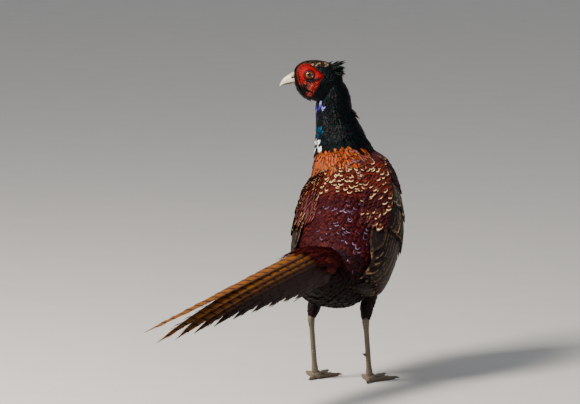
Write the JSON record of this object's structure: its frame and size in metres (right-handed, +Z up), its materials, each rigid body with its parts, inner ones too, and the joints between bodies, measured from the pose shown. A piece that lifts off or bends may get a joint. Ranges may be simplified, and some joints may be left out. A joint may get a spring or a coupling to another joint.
{
  "type": "common pheasant",
  "caption": "Life-size cock pheasant standing upright and looking back over its left shoulder, with folded wings and a long pointed tail held out behind it.",
  "frame": {"origin": "on the floor, below the middle of the whole bird's box", "axes": "+Z up; -Y the way the bird faces, with its tail towards +Y; +X to the bird's left"},
  "size_m": [0.1784, 0.6466, 0.405],
  "materials": {
    "body_plumage": "overlapping feathers, rufous and maroon with pale marks and a soft purple gloss",
    "neck_plumage": "short dense feathers, black with a green and purple gloss and small white patches at the front of the base",
    "head_plumage": "very short feathers, dark glossy green with a brown crown and black ear tufts",
    "wing_feathers": "folded wing feathers, dark brown and purple with buff edges",
    "tail_feathers": "long feathers, orange brown with narrow black bars and purplish hairy fringes",
    "thigh_plumage": "soft dark brown feathers",
    "wattle_skin": "bare scarlet skin with fine bulbs and small folds",
    "bill": "ivory horn with a soft gloss",
    "eye": "amber iris with a black pupil, wet gloss",
    "leg_skin": "grey brown horny skin with raised scutes",
    "claw": "dark brown horn"
  },
  "bodies": {
    "root": {"torso": "body_plumage", "neck": "neck_plumage", "head": "head_plumage", "tail": "tail_feathers", "bill_upper": "bill", "bill_lower": "bill", "wing_left": "wing_feathers", "wing_right": "wing_feathers", "thigh_left": "thigh_plumage", "thigh_right": "thigh_plumage", "eye_left": "eye", "eye_right": "eye", "wattle_left": "wattle_skin", "wattle_right": "wattle_skin", "shank_left": "leg_skin", "shank_right": "leg_skin", "foot_left": "leg_skin", "foot_right": "leg_skin", "claw_inner_left": "claw", "claw_inner_right": "claw", "claw_middle_left": "claw", "claw_middle_right": "claw", "claw_outer_left": "claw", "claw_outer_right": "claw", "claw_hind_left": "claw", "claw_hind_right": "claw"}
  },
  "joints": []
}
